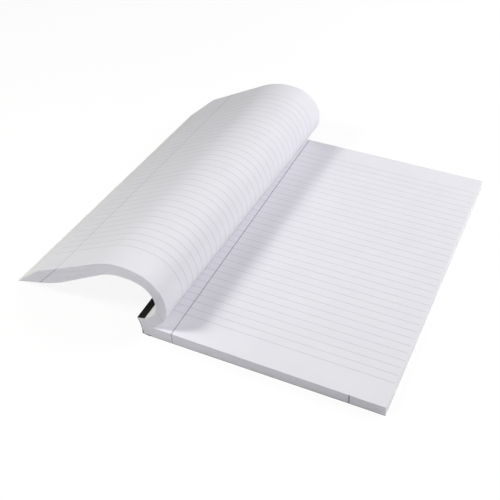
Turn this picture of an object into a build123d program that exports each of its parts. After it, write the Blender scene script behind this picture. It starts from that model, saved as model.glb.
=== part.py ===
from build123d import *
from build123d.topology import SkipClean
from math import ceil, cos, radians, sin, tan
import os

# Lined notebook, side bound, lying open in the middle. Millimetres, +Z up.
# The right half lies flat. The left half rises out of the gutter, rolls over and comes down to the
# left, where its fore edges rest on the table. X runs across the pages and Y from the tail edge to
# the head edge. The origin is the middle of the back cover's underside.

# Leaves
leaf_width = 210.0
leaf_height = 297.0

# Flat right half: its page falls a little from the gutter to the fore edge
gutter_distance = 7.6
gutter_height = 11.5
fore_edge_height = 9.7

# Part of each leaf of the rolled half that is held between the spine and the gutter
held_width = 8.2

# Covers of thin card
front_cover_thickness = 0.4
back_cover_thickness = 0.5

# Spine: it leans out over the rolled half, and its middle is drawn in
spine_height = 17.1
spine_lean = 2.9
spine_hollow = 1.3
glue_thickness = 0.35
tape_thickness = 0.35
tape_back_lap = 8.1
tape_front_lap = 7.6
tape_joggle = 1.5

# Ends of the rolled half: its leaves slip past each other, so their ends step back to the left
end_turn = 4.46
end_tilt = 1.2

# A sheet bends without stretching, so at its tail end and its head end it turns by the same angles
# and keeps its width, and only the radii of its bends differ.
# Top page of the rolled half: it rises out of the gutter, bends a little at the foot and more at
# the root, rolls over, bends on at the shoulder and runs straight to the fore edge.
top_rise_angle = 23.3
top_foot_turn = 6.0
top_root_turn = 23.8
top_roll_turn = 119.2
top_shoulder_turn = 36.1
tail_top_foot_radius = 36.8
tail_top_root_radius = 36.8
tail_top_roll_radius = 28.5
tail_top_shoulder_radius = 68.4
head_top_foot_radius = 246.9
head_top_root_radius = 12.0
head_top_roll_radius = 27.6
head_top_shoulder_radius = 66.8

# Front cover's outer face, inside the roll: the same, then a slope and a foot that flattens out
cover_rise_angle = 10.2
cover_root_turn = 53.8
cover_roll_turn = 105.3
cover_shoulder_turn = 42.5
cover_foot_turn = 12.2
tail_cover_root_radius = 26.3
tail_cover_roll_radius = 18.0
tail_cover_shoulder_radius = 55.1
tail_cover_slope = 46.8
tail_cover_foot_radius = 159.9
head_cover_root_radius = 38.2
head_cover_roll_radius = 14.6
head_cover_shoulder_radius = 48.7
head_cover_slope = 58.1
head_cover_foot_radius = 175.5

# Print: feint lines across each page, and one margin line down it
rule_spacing = 8.1
rule_width = 0.35
tail_margin = 24.5
least_head_margin = 18.0
rule_start_turn = 1.0
rule_start_gap = 1.5
rule_end_gap = 3.0
flat_rule_end_gap = 0.8
spine_margin = 28.6
fore_edge_margin = 29.0
margin_line_width = 0.5
ink_thickness = 0.06

# How far a cutting solid reaches past what it cuts
cut_overrun = 12.0

# Longest turn of one face of a bent sheet, in degrees
longest_turn = 10.0

# Places that follow from the sizes above
spine_x = -leaf_width / 2
tail_y = -leaf_height / 2
head_y = leaf_height / 2
binding_thickness = tape_thickness + glue_thickness
tail_end = Plane(origin=(spine_x, tail_y, 0), x_dir=(1, 0, 0), z_dir=(0, -1, 0))
along_spine = (0, 1, 0)
rule_count = 1 + int((leaf_height - tail_margin - least_head_margin) / rule_spacing)


def slipped_end(y):
    """Plane of the rolled half's leaf ends. It crosses the gutter, its origin, at this Y."""
    back = tan(radians(end_turn))
    return Plane(
        origin=(spine_x + gutter_distance, y, gutter_height),
        x_dir=(1, -back, 0),
        z_dir=(-back, -1, tan(radians(end_tilt))),
    )


def on_slipped_end(x, z):
    """Place on a slipped end of the point at this distance from the spine and this height."""
    back = (gutter_distance - x) * tan(radians(end_turn))
    forward = (gutter_height - z) * tan(radians(end_tilt))
    place = slipped_end(0).to_local_coords(Vector(spine_x + x, back - forward, z))
    return (place.X, place.Y)


gutter = on_slipped_end(gutter_distance, gutter_height)
spine_top = on_slipped_end(-spine_lean, spine_height)

# A path is a row of stretches: a bend is (radius, turn), and a straight run is (length, 0)


def beside(point, heading, distance):
    """Point that lies the distance to the left of a path with this heading."""
    across = (-sin(radians(heading)), cos(radians(heading)))
    return (point[0] + distance * across[0], point[1] + distance * across[1])


def past(point, heading, size, turn):
    """Point and heading after one stretch of a path."""
    if turn == 0:
        return beside(point, heading - 90, size), heading
    radius = size if turn > 0 else -size
    centre = beside(point, heading, radius)
    return beside(centre, heading + turn, -radius), heading + turn


def length_of(stretches):
    return sum(size * radians(abs(turn)) if turn else size for size, turn in stretches)


def in_short_bends(stretches):
    """The same path with its bends cut up, so that no face between the two ends turns far."""
    short = []
    for size, turn in stretches:
        count = ceil(abs(turn) / longest_turn) or 1
        short += [(size, turn / count)] * count
    return short


def draw_path(start, heading, stretches, side=0.0):
    """Draws the stretches one after another, moved sideways to the left, and returns both ends."""
    first = point = beside(start, heading, side)
    for size, turn in stretches:
        moved = size if turn == 0 else size - side if turn > 0 else size + side
        end, end_heading = past(point, heading, moved, turn)
        if turn == 0:
            Line(point, end)
        else:
            tangent = (cos(radians(heading)), sin(radians(heading)))
            JernArc(start=point, tangent=tangent, radius=moved, arc_size=turn)
        point, heading = end, end_heading
    return first, point


def draw_sheet(start, heading, stretches, low_side, high_side):
    """Closed outline of a thin sheet between two distances to the left of a path."""
    low_start, low_end = draw_path(start, heading, stretches, low_side)
    high_start, high_end = draw_path(start, heading, stretches, high_side)
    Line(low_start, high_start)
    Line(low_end, high_end)


def top_page(foot_radius, root_radius, roll_radius, shoulder_radius):
    """Stretches of the top page, split where its ruling and its margin line begin and end."""
    bends = [
        (foot_radius, rule_start_turn),
        (foot_radius, top_foot_turn - rule_start_turn),
        (root_radius, top_root_turn),
        (roll_radius, top_roll_turn),
        (shoulder_radius, top_shoulder_turn),
    ]
    to_margin = leaf_width - held_width - length_of(bends) - fore_edge_margin
    return bends + [
        (to_margin - margin_line_width / 2, 0),
        (margin_line_width, 0),
        (fore_edge_margin - margin_line_width / 2 - rule_end_gap, 0),
        (rule_end_gap, 0),
    ]


# Stretches of the top page that the print on it covers, counted from its ends
BEFORE_MARGIN, MARGIN, AFTER_MARGIN = slice(1, -3), slice(-3, -2), slice(-2, -1)


def cover_face(root_radius, roll_radius, shoulder_radius, slope, foot_radius):
    """Stretches of the front cover's outer face."""
    stretches = [
        (root_radius, cover_root_turn),
        (roll_radius, cover_roll_turn),
        (shoulder_radius, cover_shoulder_turn),
        (slope, 0),
        (foot_radius, -cover_foot_turn),
    ]
    return stretches + [(leaf_width - length_of(stretches), 0)]


# Y, top page and front cover at each end of the rolled half
rolled_ends = (
    (
        tail_y,
        top_page(
            tail_top_foot_radius,
            tail_top_root_radius,
            tail_top_roll_radius,
            tail_top_shoulder_radius,
        ),
        cover_face(
            tail_cover_root_radius,
            tail_cover_roll_radius,
            tail_cover_shoulder_radius,
            tail_cover_slope,
            tail_cover_foot_radius,
        ),
    ),
    (
        head_y,
        top_page(
            head_top_foot_radius,
            head_top_root_radius,
            head_top_roll_radius,
            head_top_shoulder_radius,
        ),
        cover_face(
            head_cover_root_radius,
            head_cover_roll_radius,
            head_cover_shoulder_radius,
            head_cover_slope,
            head_cover_foot_radius,
        ),
    ),
)


def draw_spine(distance):
    """Hollow line of the spine from foot to top, moved in from its outside by the distance."""
    return ThreePointArc(
        on_slipped_end(distance, 0),
        on_slipped_end(distance - spine_lean / 2 + spine_hollow, spine_height / 2),
        on_slipped_end(distance - spine_lean, spine_height),
    )


def draw_spine_layer(outside, inside, rise):
    """Closed outline of a layer on the spine, which rises past the spine's top."""
    outer = draw_spine(outside)
    inner = draw_spine(inside)
    outer_tip = on_slipped_end(outside - spine_lean, spine_height + rise)
    inner_tip = on_slipped_end(inside - spine_lean, spine_height + rise)
    Line(outer @ 0, inner @ 0)
    Polyline(outer @ 1, outer_tip, inner_tip, inner @ 1)


# Room outside the glue, which no leaf and no cover enters
with BuildPart() as spine_room:
    with BuildSketch(slipped_end(tail_y - cut_overrun)):
        with BuildLine():
            draw_spine_layer(-cut_overrun, binding_thickness, cut_overrun)
        make_face()
    extrude(amount=leaf_height + 2 * cut_overrun, dir=along_spine)

# Front cover, bent round with the leaves that lie on it
with SkipClean(), BuildPart() as front_cover:
    sections = []
    for y, _, cover in rolled_ends:
        with BuildLine(slipped_end(y)) as outline:
            bends = in_short_bends(cover)
            draw_sheet(spine_top, cover_rise_angle, bends, -front_cover_thickness, 0)
        sections.append(Face(outline.wire()))
    loft(sections, ruled=True, clean=False)
    add(spine_room.part, mode=Mode.SUBTRACT, clean=False)
front_cover.part.label = "front_cover"


def draw_back_cover_face(height):
    """Face of the back cover, this far from its underside. It dips past the edge of the tape."""
    return Polyline(
        (-spine_lean, tape_thickness + height),
        (tape_back_lap, tape_thickness + height),
        (tape_back_lap + tape_joggle, height),
        (leaf_width, height),
    )


# Back cover, flat on the table
with BuildPart() as back_cover:
    with BuildSketch(tail_end):
        with BuildLine():
            lower = draw_back_cover_face(0)
            upper = draw_back_cover_face(back_cover_thickness)
            Line(lower @ 0, upper @ 0)
            Line(lower @ 1, upper @ 1)
        make_face()
    extrude(amount=-leaf_height)
    add(spine_room.part, mode=Mode.SUBTRACT, clean=False)
back_cover.part.label = "back_cover"

# Leaves: first the rolled half, whose root goes on down into the flat half and past the spine,
# then the flat half
with SkipClean(), BuildPart() as page_block:
    root_height = gutter_height / 2
    below_gutter = on_slipped_end(gutter_distance, root_height)
    past_spine = on_slipped_end(-spine_lean, root_height)
    sections = []
    for y, top, cover in rolled_ends:
        with BuildLine(slipped_end(y)) as outline:
            low_start, low_end = draw_path(
                spine_top, cover_rise_angle, in_short_bends(cover), -front_cover_thickness
            )
            _, top_end = draw_path(gutter, top_rise_angle, in_short_bends(top))
            Line(low_end, top_end)
            Polyline(gutter, below_gutter, past_spine, low_start)
        sections.append(Face(outline.wire()))
    loft(sections, ruled=True, clean=False)
    with BuildSketch(tail_end):
        with BuildLine():
            under = draw_back_cover_face(back_cover_thickness)
            Polyline(
                under @ 1,
                (leaf_width, fore_edge_height),
                (gutter_distance, gutter_height),
                (-spine_lean, root_height),
                under @ 0,
            )
        make_face()
    extrude(amount=-leaf_height, clean=False)
    add(spine_room.part, mode=Mode.SUBTRACT, clean=False)
page_block.part.label = "page_block"

# Dark tape: its lap over the root of the front cover, then the spine and the lap under the back
# cover
with SkipClean(), BuildPart() as spine_tape:
    sections = []
    for y, _, cover in rolled_ends:
        with BuildLine(slipped_end(y)) as outline:
            root = in_short_bends(cover[:1])
            draw_sheet(spine_top, cover_rise_angle, root, 0, tape_thickness)
        sections.append(Face(outline.wire()))
    loft(sections, ruled=True, clean=False)
    split(bisect_by=Plane.YZ.offset(spine_x + tape_front_lap - spine_lean), keep=Keep.BOTTOM)
    with BuildSketch(slipped_end(tail_y)):
        with BuildLine():
            draw_spine_layer(0, tape_thickness, tape_thickness)
        make_face()
        with BuildLine():
            Polyline(
                on_slipped_end(0, 0),
                on_slipped_end(tape_back_lap, 0),
                on_slipped_end(tape_back_lap, tape_thickness),
                on_slipped_end(0, tape_thickness),
                close=True,
            )
        make_face()
    extrude(amount=leaf_height, dir=along_spine, clean=False)
spine_tape.part.label = "spine_tape"

# Glue between the tape and the leaves' backs, closed by the tape at the top and the bottom
with BuildPart() as spine_glue:
    with BuildSketch(slipped_end(tail_y)):
        with BuildLine():
            draw_spine_layer(tape_thickness, binding_thickness, tape_thickness / 2)
        make_face()
    extrude(amount=leaf_height, dir=along_spine, clean=False)
    add(spine_tape.part, mode=Mode.SUBTRACT, clean=False)
spine_glue.part.label = "spine_glue"

# Flat page: X runs from the gutter down its fall to the fore edge, and Y from the tail
page_fall = Vector(leaf_width - gutter_distance, 0, fore_edge_height - gutter_height)
flat_page = Plane(
    origin=(spine_x + gutter_distance, tail_y, gutter_height),
    x_dir=page_fall,
    z_dir=(-page_fall.Z, 0, page_fall.X),
)
flat_margin = spine_margin - gutter_distance
middle_rule = tail_margin + (rule_count - 1) * rule_spacing / 2

with BuildPart() as right_margin_line:
    with BuildSketch(flat_page):
        with Locations((flat_margin, leaf_height / 2)):
            Rectangle(margin_line_width, leaf_height)
    extrude(amount=ink_thickness)
right_margin_line.part.label = "right_margin_line"

with BuildPart() as right_page_ruling:
    with BuildSketch(flat_page):
        near = (rule_start_gap, flat_margin - margin_line_width / 2)
        far = (flat_margin + margin_line_width / 2, page_fall.length - flat_rule_end_gap)
        for start, end in (near, far):
            with Locations(((start + end) / 2, middle_rule)):
                with GridLocations(rule_spacing, rule_spacing, 1, rule_count):
                    Rectangle(end - start, rule_width)
    extrude(amount=ink_thickness)
right_page_ruling.part.label = "right_page_ruling"


def draw_ink(stretches, covered):
    """Section of a layer of ink on the covered stretches of the top page."""
    start, heading = gutter, top_rise_angle
    for size, turn in stretches[: covered.start]:
        start, heading = past(start, heading, size, turn)
    draw_sheet(start, heading, stretches[covered], -ink_thickness, 0)


with BuildPart() as left_margin_line:
    sections = []
    for y, top, _ in rolled_ends:
        with BuildLine(slipped_end(y)) as outline:
            draw_ink(top, MARGIN)
        sections.append(Face(outline.wire()))
    loft(sections, ruled=True, clean=False)
left_margin_line.part.label = "left_margin_line"

# Thin upright slabs, one for each line of the rolled page, which follow the slip of its ends
with BuildPart() as rule_slabs:
    for count in range(rule_count):
        with BuildSketch(slipped_end(tail_y + tail_margin + count * rule_spacing)):
            Rectangle(2 * leaf_width, leaf_width)
        extrude(amount=rule_width / 2, both=True)

with SkipClean(), BuildPart() as left_page_ruling:
    for covered in (BEFORE_MARGIN, AFTER_MARGIN):
        sections = []
        for y, top, _ in rolled_ends:
            with BuildLine(slipped_end(y)) as outline:
                draw_ink(top, covered)
            sections.append(Face(outline.wire()))
        loft(sections, ruled=True, clean=False)
    add(rule_slabs.part, mode=Mode.INTERSECT, clean=False)
left_page_ruling.part.label = "left_page_ruling"

os.makedirs("parts", exist_ok=True)
for piece in (
    page_block,
    front_cover,
    back_cover,
    spine_tape,
    spine_glue,
    right_margin_line,
    right_page_ruling,
    left_margin_line,
    left_page_ruling,
):
    export_step(piece.part, f"parts/{piece.part.label}.step")
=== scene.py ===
import math
import random

import bpy
import numpy as np
from mathutils import Matrix, Vector


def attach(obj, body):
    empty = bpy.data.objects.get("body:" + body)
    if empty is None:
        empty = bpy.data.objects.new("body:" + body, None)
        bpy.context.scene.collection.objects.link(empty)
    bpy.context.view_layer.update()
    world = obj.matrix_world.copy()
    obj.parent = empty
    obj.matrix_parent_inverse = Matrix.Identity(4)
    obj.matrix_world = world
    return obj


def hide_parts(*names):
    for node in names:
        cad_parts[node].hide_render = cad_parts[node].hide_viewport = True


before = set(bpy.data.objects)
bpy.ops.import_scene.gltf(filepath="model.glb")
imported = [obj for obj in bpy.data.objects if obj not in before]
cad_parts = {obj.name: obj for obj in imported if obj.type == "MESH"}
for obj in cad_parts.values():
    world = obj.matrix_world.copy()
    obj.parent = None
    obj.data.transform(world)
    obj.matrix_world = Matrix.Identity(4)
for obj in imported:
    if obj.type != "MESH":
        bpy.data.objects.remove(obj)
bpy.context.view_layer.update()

scene = bpy.context.scene
chance = random.Random(7)

# Lined notebook, side bound, lying open in the middle. Sizes are in millimetres, as in the part's
# source, and MM takes them to metres.
MM = 0.001

# Leaves
leaf_width = 210.0
leaf_height = 297.0
gutter_distance = 7.6
gutter_height = 11.5
fore_edge_height = 9.7
held_width = 8.2

# Covers and spine
front_cover_thickness = 0.4
back_cover_thickness = 0.5
spine_height = 17.1
spine_lean = 2.9
spine_hollow = 1.3
glue_thickness = 0.35
tape_thickness = 0.35
tape_back_lap = 8.1
tape_joggle = 1.5

# Ends of the rolled half, in degrees
end_turn = 4.46
end_tilt = 1.2

# Top page of the rolled half: foot, root, roll and shoulder as (radius at the tail, radius at the
# head, turn), then a straight run
top_rise = 23.3
top_bends = ((36.8, 246.9, 6.0), (36.8, 12.0, 23.8), (28.5, 27.6, 119.2), (68.4, 66.8, 36.1))

# Front cover's outer face: root, roll and shoulder, the slope as (length, length, 0), and the foot
cover_rise = 10.2
cover_bends = (
    (26.3, 38.2, 53.8),
    (18.0, 14.6, 105.3),
    (55.1, 48.7, 42.5),
    (46.8, 58.1, 0.0),
    (159.9, 175.5, -12.2),
)

# Print, as thin strips that lie a little above the page. A rule has a point for about every
# rule_step, and the page's slope there is read over slope_reach to each side. A trace is the end
# of a margin line on the leaves' cut edges.
rule_count = 32
rule_spacing = 8.1
tail_margin = 24.5
rule_width = 0.35
rolled_rule_start_gap = 2.0
rolled_rule_end_gap = 3.0
flat_rule_start_gap = 1.5
flat_rule_end_gap = 0.8
spine_margin = 28.6
fore_edge_margin = 29.0
margin_line_width = 0.5
print_height = 0.05
rule_step = 2.5
margin_line_points = 40
slope_reach = 0.5
spine_trace_half_width = 0.45
fore_edge_trace_half_width = 0.6
fore_edge_trace_share = 0.9

# Leaves are drawn in groups, each a closed sheet. A gap, given as a share of a group's thickness,
# parts it from the next one. Its edges lie a little in from the block's, each by its own amount.
rolled_groups = 40
flat_groups = 34
group_gap = 0.04
tail_step = 0.2
fore_edge_step = 0.3

# Where a group has its points: as shares of its width, and as rows from tail to head
rolled_columns = np.concatenate((np.linspace(0, 0.12, 10, endpoint=False),
                                 np.linspace(0.12, 0.62, 46, endpoint=False),
                                 np.linspace(0.62, 1.0, 12)))
flat_columns = np.concatenate((np.linspace(0, 0.06, 8, endpoint=False),
                               np.linspace(0.06, 1.0, 14)))
rolled_rows = 9
flat_rows = 7

# Fineness of a sheet's path: degrees in one step of a bend, and steps in a straight stretch
bend_step = 3.0
straight_steps = 12

tail_y = -leaf_height / 2
spine_x = -leaf_width / 2
spine_inside = tape_thickness + glue_thickness
held_drop = math.sqrt(held_width ** 2 - (gutter_distance - spine_inside) ** 2)


# Where the leaves run

back = math.tan(math.radians(end_turn))
forward = math.tan(math.radians(end_tilt))
end_x = np.array((1.0, -back, 0.0)) / math.hypot(1.0, back)
end_normal = np.array((-back, -1.0, forward))
end_normal /= np.linalg.norm(end_normal)
end_up = np.cross(end_normal, end_x)


def slipped(points, y):
    """Points of the rolled half's end plane that crosses the gutter at this Y, in space."""
    origin = np.array((spine_x + gutter_distance, y, gutter_height))
    return origin + points[:, :1] * end_x + points[:, 1:] * end_up


def on_slipped_end(x, z):
    """Place on a slipped end of the point at this distance from the spine and this height."""
    y = back * (gutter_distance - x) - forward * (gutter_height - z)
    place = np.array((x - gutter_distance, y, z - gutter_height))
    return np.array((place @ end_x, place @ end_up))


def beside(point, angle, side):
    """The point moved sideways, to the left of this direction."""
    return point + side * np.array((-math.sin(angle), math.cos(angle)))


def walk(start, heading, stretches, total, side=0.0):
    """Points and lengths along a path of (size, turn) stretches, closed by a run to the total.

    The size is a radius, or a length where there is no turn. The points lie beside the path.
    """
    used = sum(size * math.radians(abs(turn)) if turn else size for size, turn in stretches)
    point = np.array(start, float)
    angle = math.radians(heading)
    points, lengths = [beside(point, angle, side)], [0.0]
    for size, turn in (*stretches, (total - used, 0.0)):
        count = max(2, round(abs(turn) / bend_step)) if turn else straight_steps
        bend = math.radians(turn) / count
        chord = 2 * size * math.sin(abs(bend) / 2) if turn else size / count
        run = size * abs(bend) if turn else size / count
        for _ in range(count):
            direction = angle + bend / 2
            point = point + chord * np.array((math.cos(direction), math.sin(direction)))
            angle += bend
            points.append(beside(point, angle, side))
            lengths.append(lengths[-1] + run)
    return np.array(points), np.array(lengths)


def both_ends(start, rise, bends, total, side=0.0, held_from=None):
    """Points in space and lengths of a sheet's path at the tail end and at the head end.

    A sheet that is held between the spine and the gutter has that part first, from this place.
    """
    ends = []
    for end in (0, 1):
        points, lengths = walk(start, rise, [(bend[end], bend[2]) for bend in bends], total, side)
        if held_from is not None:
            points = np.vstack((held_from, points))
            lengths = np.concatenate(((0.0,), lengths + held_width))
        ends.append((slipped(points, tail_y + end * leaf_height), lengths))
    return ends


top_ends = both_ends(on_slipped_end(gutter_distance, gutter_height), top_rise, top_bends,
                     leaf_width - held_width,
                     held_from=on_slipped_end(spine_inside, gutter_height - held_drop))
cover_ends = both_ends(on_slipped_end(-spine_lean, spine_height), cover_rise, cover_bends,
                       leaf_width, side=-front_cover_thickness)


def across(ends, along, width):
    """Points of a ruled sheet at these widths, so far along from 0 at the tail to 1 at the head."""
    points = ends[0][0] * (1 - along) + ends[1][0] * along
    lengths = ends[0][1] * (1 - along) + ends[1][1] * along
    return np.stack([np.interp(width, lengths, points[:, axis]) for axis in range(3)], axis=1)


def rolled_leaf(rank, along, width):
    """Points of the rolled half's leaf of this rank, from 0 on the cover to 1 on top."""
    return across(cover_ends, along, width) * (1 - rank) + across(top_ends, along, width) * rank


def flat_leaf(rank, along, width):
    """Points of the flat half's leaf of this rank, from 0 on the back cover to 1 on top."""
    under = np.interp(width, (tape_back_lap, tape_back_lap + tape_joggle),
                      (tape_thickness + back_cover_thickness, back_cover_thickness))
    over = np.interp(width, (spine_inside, gutter_distance, leaf_width),
                     (gutter_height - held_drop, gutter_height, fore_edge_height))
    height = under + rank * (over - under)
    inside = spine_inside + spine_hollow - spine_lean * height / spine_height
    held = inside + (width / gutter_distance) * (gutter_distance - inside)
    x = np.where(width < gutter_distance, held, width)
    y = np.full_like(x, tail_y + along * leaf_height)
    return np.stack((spine_x + x, y, height), axis=1)


# Pieces from points

def build_mesh(name, vertices, faces, materials, face_materials=None, layers=None):
    """A piece from its vertices in millimetres. Layers are named values, one for each vertex."""
    mesh = bpy.data.meshes.new(name)
    mesh.from_pydata((np.asarray(vertices) * MM).tolist(), [], faces)
    for material in materials:
        mesh.materials.append(material)
    if face_materials is not None:
        mesh.polygons.foreach_set("material_index", face_materials)
    for layer, values in (layers or {}).items():
        attribute = mesh.attributes.new(layer, "FLOAT", "POINT")
        attribute.data.foreach_set("value", np.asarray(values, dtype=np.float32))
    mesh.update()
    piece = bpy.data.objects.new(name, mesh)
    scene.collection.objects.link(piece)
    return piece


def draw_group(leaf, low, high, widths, shares):
    """One group of leaves as a closed sheet: vertices, faces, face materials and layers."""
    rows, columns = len(shares), len(widths)
    one_side = rows * columns
    vertices = np.vstack([leaf(rank, share, widths) for rank in (high, low) for share in shares])
    layers = {"rank": np.repeat((high, low), one_side), "distance": np.tile(widths, 2 * rows)}
    faces, kinds = [], []
    for row in range(rows - 1):
        for column in range(columns - 1):
            corner = row * columns + column
            quad = [corner, corner + 1, corner + columns + 1, corner + columns]
            faces += [quad, [one_side + corner for corner in reversed(quad)]]
            kinds += [0, 0]
    rim = (list(range(columns))
           + [(row + 1) * columns - 1 for row in range(1, rows)]
           + [(rows - 1) * columns + column for column in range(columns - 2, -1, -1)]
           + [row * columns for row in range(rows - 2, 0, -1)])
    for here, there in zip(rim, rim[1:] + rim[:1]):
        faces.append([here, one_side + here, one_side + there, there])
        kinds.append(1)
    return vertices, faces, kinds, layers


def step_in(most):
    """How far an edge lies in from the block's, mostly a small part of the most."""
    return chance.random() ** 2 * most


def draw_half(name, leaf, count, materials, columns, rows):
    """All the groups of one half of the notebook in one piece."""
    vertices, faces, kinds, layers = [], [], [], {"rank": [], "distance": []}
    total = 0
    for group in range(count):
        low = (group + (group_gap if group else 0)) / count
        high = (group + 1) / count
        is_inner = 0 < group < count - 1
        start = is_inner * step_in(tail_step) / leaf_height
        stop = 1 - is_inner * step_in(tail_step) / leaf_height
        end = leaf_width - is_inner * step_in(fore_edge_step)
        shares = start + (stop - start) * np.linspace(0, 1, rows)
        new_vertices, new_faces, new_kinds, new_layers = draw_group(
            leaf, low, high, end * columns, shares)
        vertices.append(new_vertices)
        faces += [[total + corner for corner in face] for face in new_faces]
        kinds += new_kinds
        for layer, values in new_layers.items():
            layers[layer].append(values)
        total += len(new_vertices)
    layers = {layer: np.concatenate(values) for layer, values in layers.items()}
    return build_mesh(name, np.vstack(vertices), faces, materials, kinds, layers)


def draw_strips(name, strips, material):
    """Printed lines in one piece. A strip is two rows of points, on its two edges."""
    vertices, faces, total = [], [], 0
    for strip in strips:
        count = len(strip[0])
        vertices += strip
        faces += [[total + i, total + i + 1, total + count + i + 1, total + count + i]
                  for i in range(count - 1)]
        total += 2 * count
    return build_mesh(name, np.vstack(vertices), faces, [material])


def printed(leaf, share, widths):
    """Points just above the top leaf."""
    points = leaf(1.0, share, widths)
    ahead = leaf(1.0, share, widths + slope_reach) - leaf(1.0, share, widths - slope_reach)
    normal = np.stack((-ahead[:, 2], np.zeros(len(widths)), ahead[:, 0]), axis=1)
    normal /= np.linalg.norm(normal, axis=1, keepdims=True)
    outward = -1 if leaf is rolled_leaf else 1
    return points + outward * print_height * normal


def rules(leaf, first, margin, last):
    """Strips of one page's feint lines, which stop at the margin line."""
    shares = (tail_margin + rule_spacing * np.arange(rule_count)) / leaf_height
    half_width = rule_width / 2 / leaf_height
    half_line = margin_line_width / 2
    strips = []
    for start, stop in ((first, margin - half_line), (margin + half_line, last)):
        widths = np.linspace(start, stop, max(2, int((stop - start) / rule_step)))
        strips += [[printed(leaf, share + side, widths) for side in (-half_width, half_width)]
                   for share in shares]
    return strips


def margin_line(leaf, margin):
    """Strip of one page's margin line, from tail to head."""
    half_line = margin_line_width / 2
    shares = np.linspace(0, 1, margin_line_points)
    return [[np.vstack([printed(leaf, share, np.array((margin + side,))) for share in shares])
             for side in (-half_line, half_line)]]


# Materials. Colours are linear, noise scales are in cycles per metre, and bump distances are in
# metres.

paper_light = (0.83, 0.823, 0.878)
paper_dark = (0.81, 0.803, 0.86)
trace_colour = (0.22, 0.2, 0.27)
# Painted shadow: near black for the back cover's cut rim, standing in for the contact shadow along
# its edges on the table
painted_shadow_colour = (0.07, 0.07, 0.08)

# The fore edge's painted light, a colour lighter than the paper's own, covers the last part of this
# width, in millimetres. On all the edges the noise changes from leaf to leaf, and by only this much
# for each millimetre along a leaf.
painted_light_depth = 0.5
noise_along_leaf = 0.0004

# A face of a cover is its cut rim where its normal's upward share is below this. On the back cover
# that rim gets painted shadow.
painted_shadow_limit = 0.5


def new_material(name, roughness, specular=0.5):
    material = bpy.data.materials.new(name)
    material.use_nodes = True
    tree = material.node_tree
    tree.nodes.clear()
    output = tree.nodes.new("ShaderNodeOutputMaterial")
    surface = tree.nodes.new("ShaderNodeBsdfPrincipled")
    surface.inputs["Roughness"].default_value = roughness
    surface.inputs["Specular IOR Level"].default_value = specular
    tree.links.new(surface.outputs["BSDF"], output.inputs["Surface"])
    return material, tree, surface


def noise(tree, scale, detail=3.0, vector=None):
    """Noise in the object's own coordinates, or in those of the vector."""
    node = tree.nodes.new("ShaderNodeTexNoise")
    node.inputs["Scale"].default_value = scale
    node.inputs["Detail"].default_value = detail
    if vector is None:
        vector = tree.nodes.new("ShaderNodeTexCoord").outputs["Object"]
    tree.links.new(vector, node.inputs["Vector"])
    return node.outputs["Fac"]


def ramp(tree, value, low, high, colours):
    """Colour between two, as the value goes from low to high."""
    node = tree.nodes.new("ShaderNodeValToRGB")
    for stop, place, colour in zip(node.color_ramp.elements, (low, high), colours):
        stop.position = place
        stop.color = (*colour, 1.0)
    tree.links.new(value, node.inputs["Fac"])
    return node.outputs["Color"]


def mix(tree, share, one, other):
    """Mix of two colours. Each is a socket or three numbers, and the share a socket or one."""
    node = tree.nodes.new("ShaderNodeMix")
    node.data_type = "RGBA"
    for socket, value in ((node.inputs[0], share), (node.inputs[6], one), (node.inputs[7], other)):
        if isinstance(value, bpy.types.NodeSocket):
            tree.links.new(value, socket)
        else:
            socket.default_value = value if isinstance(value, float) else (*value, 1.0)
    return node.outputs[2]


def math_node(tree, operation, *values):
    """Result of a sum on sockets and numbers."""
    node = tree.nodes.new("ShaderNodeMath")
    node.operation = operation
    for socket, value in zip(node.inputs, values):
        if isinstance(value, bpy.types.NodeSocket):
            tree.links.new(value, socket)
        else:
            socket.default_value = value
    return node.outputs[0]


def bump(tree, surface, height, distance, strength):
    node = tree.nodes.new("ShaderNodeBump")
    node.inputs["Strength"].default_value = strength
    node.inputs["Distance"].default_value = distance
    tree.links.new(height, node.inputs["Height"])
    tree.links.new(node.outputs["Normal"], surface.inputs["Normal"])


def layer_value(tree, name):
    """Value of a mesh layer."""
    node = tree.nodes.new("ShaderNodeAttribute")
    node.attribute_name = name
    return node.outputs["Fac"]


def page_paper():
    """Smooth writing paper: faint cloudiness and fibres."""
    material, tree, surface = new_material("page_paper", roughness=0.85, specular=0.2)
    clouds = noise(tree, 45.0, 4.0)
    fibres = noise(tree, 2600.0, 4.0)
    colour = ramp(tree, clouds, 0.3, 0.7, (paper_dark, paper_light))
    tree.links.new(colour, surface.inputs["Base Color"])
    bump(tree, surface, fibres, distance=0.00004, strength=0.5)
    return material


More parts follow.
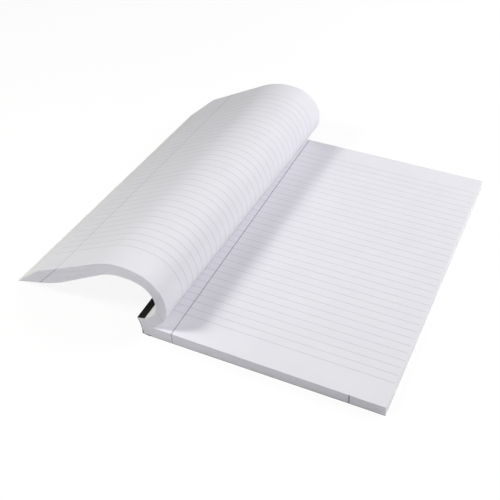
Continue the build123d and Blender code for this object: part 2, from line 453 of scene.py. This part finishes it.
def edge_paper(name, spine_trace_share):
    """Cut edges of the leaves: fine lines along them, the ends of the margin lines, and painted
    light on the fore edge.
    """
    material, tree, surface = new_material(name, roughness=0.9, specular=0.15)
    distance = layer_value(tree, "distance")
    place = tree.nodes.new("ShaderNodeCombineXYZ")
    tree.links.new(layer_value(tree, "rank"), place.inputs[0])
    tree.links.new(math_node(tree, "MULTIPLY", distance, noise_along_leaf), place.inputs[1])
    leaves = noise(tree, 260.0, 2.0, place.outputs[0])
    bands = noise(tree, 14.0, 2.0, place.outputs[0])
    fine = ramp(tree, leaves, 0.35, 0.65, ((0.71, 0.705, 0.77), (0.80, 0.795, 0.865)))
    wide = ramp(tree, bands, 0.3, 0.7, ((0.74, 0.735, 0.80), (0.78, 0.775, 0.845)))
    # Painted light: the fore edge is painted lighter than the paper itself, standing in for the
    # light its face lacks, turned away from the lamps
    painted_light_fore_edge = ramp(tree, leaves, 0.3, 0.7, ((0.86, 0.86, 0.87), (0.93, 0.93, 0.94)))
    painted_light_mask = math_node(tree, "GREATER_THAN", distance, leaf_width - painted_light_depth)
    colour = mix(tree, painted_light_mask, mix(tree, 0.5, fine, wide), painted_light_fore_edge)
    for centre, half_width, share in (
        (spine_margin, spine_trace_half_width, spine_trace_share),
        (leaf_width - fore_edge_margin, fore_edge_trace_half_width, fore_edge_trace_share),
    ):
        off = math_node(tree, "ABSOLUTE", math_node(tree, "SUBTRACT", distance, centre))
        inked = math_node(tree, "LESS_THAN", off, half_width)
        colour = mix(tree, math_node(tree, "MULTIPLY", inked, share), colour, trace_colour)
    tree.links.new(colour, surface.inputs["Base Color"])
    bump(tree, surface, leaves, distance=0.00006, strength=0.4)
    return material


def cover_card(name, has_painted_shadow_rim):
    """Limp pulp card, a little mottled, with painted shadow on its cut rim where asked."""
    material, tree, surface = new_material(name, roughness=0.8, specular=0.25)
    clouds = noise(tree, 60.0, 5.0)
    flecks = noise(tree, 700.0)
    colour = mix(tree, 0.25,
                 ramp(tree, clouds, 0.3, 0.7, ((0.80, 0.80, 0.80), (0.86, 0.86, 0.855))),
                 ramp(tree, flecks, 0.4, 0.6, ((0.72, 0.72, 0.715), (0.88, 0.88, 0.875))))
    # Painted shadow: the cut rim, the faces turned neither up nor down, is painted near black to
    # stand in for the contact shadow under the back cover's edges
    if has_painted_shadow_rim:
        normal = tree.nodes.new("ShaderNodeSeparateXYZ")
        tree.links.new(tree.nodes.new("ShaderNodeTexCoord").outputs["Normal"], normal.inputs[0])
        upward = math_node(tree, "ABSOLUTE", normal.outputs[2])
        colour = mix(tree, math_node(tree, "LESS_THAN", upward, painted_shadow_limit), colour, painted_shadow_colour)
    tree.links.new(colour, surface.inputs["Base Color"])
    bump(tree, surface, noise(tree, 1800.0), distance=0.00008, strength=0.6)
    return material


def cloth_tape():
    """Dark binding cloth: threads along the spine and across it."""
    material, tree, surface = new_material("cloth_tape", roughness=0.75, specular=0.12)
    coordinates = tree.nodes.new("ShaderNodeTexCoord").outputs["Object"]
    threads = []
    for direction in ("X", "Y", "Z"):
        node = tree.nodes.new("ShaderNodeTexWave")
        node.bands_direction = direction
        node.inputs["Scale"].default_value = 520.0
        node.inputs["Distortion"].default_value = 0.6
        node.inputs["Detail Scale"].default_value = 2.0
        tree.links.new(coordinates, node.inputs["Vector"])
        threads.append(node.outputs["Fac"])
    round_spine = math_node(tree, "MAXIMUM", threads[0], threads[2])
    weave = math_node(tree, "MULTIPLY", math_node(tree, "ADD", threads[1], round_spine), 0.5)
    worn = math_node(tree, "MULTIPLY", noise(tree, 220.0, 4.0), 0.25)
    colour = ramp(tree, weave, 0.2, 0.9, ((0.003, 0.003, 0.003), (0.012, 0.011, 0.011)))
    colour = mix(tree, worn, colour, (0.022, 0.02, 0.02))
    tree.links.new(colour, surface.inputs["Base Color"])
    bump(tree, surface, weave, distance=0.0001, strength=0.8)
    return material


def dried_glue():
    """Dried glue: small lumps."""
    material, tree, surface = new_material("dried_glue", roughness=0.5)
    lumps = noise(tree, 300.0)
    colour = ramp(tree, lumps, 0.3, 0.7, ((0.24, 0.23, 0.21), (0.34, 0.33, 0.31)))
    tree.links.new(colour, surface.inputs["Base Color"])
    bump(tree, surface, lumps, distance=0.0002, strength=0.5)
    return material


def ink(name, thin, full):
    """Printed line: the ink breaks up a little over the fibres."""
    material, tree, surface = new_material(name, roughness=0.85, specular=0.2)
    colour = ramp(tree, noise(tree, 900.0), 0.35, 0.65, (thin, full))
    tree.links.new(colour, surface.inputs["Base Color"])
    return material


page = page_paper()
rule_ink = ink("rule_ink", (0.60, 0.59, 0.62), (0.52, 0.51, 0.54))
margin_ink = ink("margin_ink", (0.23, 0.22, 0.27), (0.16, 0.15, 0.19))
faint_ink = ink("faint_ink", (0.50, 0.49, 0.52), (0.38, 0.37, 0.41))


# The notebook

rolled = draw_half("leaves_rolled", rolled_leaf, rolled_groups,
                   [page, edge_paper("rolled_edge", spine_trace_share=0.25)],
                   rolled_columns, rolled_rows)
flat = draw_half("leaves_flat", flat_leaf, flat_groups,
                 [page, edge_paper("flat_edge", spine_trace_share=0.6)],
                 flat_columns, flat_rows)

left_margin = leaf_width - fore_edge_margin
left_rules = draw_strips("left_rules", rules(
    rolled_leaf, held_width + rolled_rule_start_gap, left_margin,
    leaf_width - rolled_rule_end_gap), rule_ink)
right_rules = draw_strips("right_rules", rules(
    flat_leaf, gutter_distance + flat_rule_start_gap, spine_margin,
    leaf_width - flat_rule_end_gap), rule_ink)
left_line = draw_strips("left_margin", margin_line(rolled_leaf, left_margin), faint_ink)
right_line = draw_strips("right_margin", margin_line(flat_leaf, spine_margin), margin_ink)

for piece, node, slot in (
    (rolled, "page_block", "paper"),
    (flat, "page_block", "paper"),
    (left_rules, "left_page_ruling", "rule_ink"),
    (right_rules, "right_page_ruling", "rule_ink"),
    (left_line, "left_margin_line", "margin_ink"),
    (right_line, "right_margin_line", "margin_ink"),
):
    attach(piece, "root")
    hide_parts(node)

for node, material in (
    ("front_cover", cover_card("front_card", has_painted_shadow_rim=False)),
    ("back_cover", cover_card("back_card", has_painted_shadow_rim=True)),
    ("spine_tape", cloth_tape()),
    ("spine_glue", dried_glue()),
):
    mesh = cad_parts[node].data
    mesh.materials.clear()
    mesh.materials.append(material)


# Table top and background

floor_reach = 3000.0
floor_colour = (0.8, 0.8, 0.8, 1.0)
room_light = 0.05

# To the camera the floor is mostly white, and the rest of it shows the shadow. The glow makes up
# for what that rest lacks to white.
floor_white = 0.85
floor_glow = 1.055


def background_ray(tree):
    """1 for the rays that show the white background: camera, glossy and transmission rays."""
    seen = tree.nodes.new("ShaderNodeLightPath")
    through = math_node(tree, "MAXIMUM", seen.outputs["Is Glossy Ray"],
                        seen.outputs["Is Transmission Ray"])
    return math_node(tree, "MAXIMUM", seen.outputs["Is Camera Ray"], through)


def draw_floor():
    material = bpy.data.materials.new("table_top")
    material.use_nodes = True
    tree = material.node_tree
    tree.nodes.clear()
    output = tree.nodes.new("ShaderNodeOutputMaterial")
    lit = tree.nodes.new("ShaderNodeBsdfDiffuse")
    lit.inputs["Color"].default_value = floor_colour
    plain = tree.nodes.new("ShaderNodeEmission")
    plain.inputs["Strength"].default_value = floor_glow
    blend = tree.nodes.new("ShaderNodeMixShader")
    share = math_node(tree, "MULTIPLY", background_ray(tree), floor_white)
    tree.links.new(share, blend.inputs[0])
    tree.links.new(lit.outputs[0], blend.inputs[1])
    tree.links.new(plain.outputs[0], blend.inputs[2])
    tree.links.new(blend.outputs[0], output.inputs["Surface"])
    corners = [(x * floor_reach, y * floor_reach, 0)
               for x, y in ((-1, -1), (1, -1), (1, 1), (-1, 1))]
    build_mesh("table_top", corners, [(0, 1, 2, 3)], [material])


def draw_background():
    world = bpy.data.worlds.new("room")
    world.use_nodes = True
    scene.world = world
    tree = world.node_tree
    tree.nodes.clear()
    output = tree.nodes.new("ShaderNodeOutputWorld")
    sky = tree.nodes.new("ShaderNodeBackground")
    sky.inputs["Color"].default_value = (1.0, 1.0, 1.0, 1.0)
    direct = math_node(tree, "MULTIPLY", background_ray(tree), 1.0 - room_light)
    strength = math_node(tree, "ADD", direct, room_light)
    tree.links.new(strength, sky.inputs["Strength"])
    tree.links.new(sky.outputs[0], output.inputs["Surface"])


draw_floor()
draw_background()


# Light

white = (1.0, 1.0, 1.0)
warm_white = (1.0, 1.0, 0.955)

# Name, power in watts, size in metres, bearing (0 is towards the head, 90 to the right), elevation,
# distance in metres from the place that they point at, and colour
lamps = (
    ("key", 11.9, 0.9, 58.0, 42.0, 1.2, white),
    ("low_key", 2.5, 0.6, 28.0, 20.0, 1.2, white),
    ("fill", 5.5, 0.26, 230.0, 48.0, 1.2, warm_white),
    ("near_fill", 0.4, 0.22, 236.0, 36.0, 0.7, warm_white),
    ("low_fill", 1.1, 0.3, 198.0, 20.0, 1.2, white),
)
lit_place = Vector((-0.05, 0.0, 0.02))


def area_light(name, power, size, bearing, elevation, distance, colour):
    bearing, elevation = math.radians(bearing), math.radians(elevation)
    data = bpy.data.lights.new(name, "AREA")
    data.energy = power
    data.size = size
    data.color = colour
    lamp = bpy.data.objects.new(name, data)
    lamp.location = distance * Vector((math.sin(bearing) * math.cos(elevation),
                                       math.cos(bearing) * math.cos(elevation),
                                       math.sin(elevation)))
    direction = lit_place - lamp.location
    lamp.rotation_euler = direction.to_track_quat("-Z", "Y").to_euler()
    scene.collection.objects.link(lamp)


for lamp in lamps:
    area_light(*lamp)


# Camera, as solved from the flat page's corners

camera_place = (0.19047, -0.52389, 0.50792)
azimuth, elevation, roll = (math.radians(angle) for angle in (27.03, 41.94, -2.86))
camera_data = bpy.data.cameras.new("camera")
camera_data.sensor_width = 36.0
camera_data.lens = 59.70
camera = bpy.data.objects.new("camera", camera_data)
backward = Vector((math.sin(azimuth) * math.cos(elevation),
                   -math.cos(azimuth) * math.cos(elevation), math.sin(elevation)))
rightward = Vector((math.cos(azimuth), math.sin(azimuth), 0.0))
upward = backward.cross(rightward)
turned_right = math.cos(roll) * rightward + math.sin(roll) * upward
turned_up = -math.sin(roll) * rightward + math.cos(roll) * upward
turn = Matrix((turned_right, turned_up, backward)).transposed().to_4x4()
camera.matrix_world = Matrix.Translation(camera_place) @ turn
scene.collection.objects.link(camera)
scene.camera = camera

scene.view_settings.view_transform = "Standard"
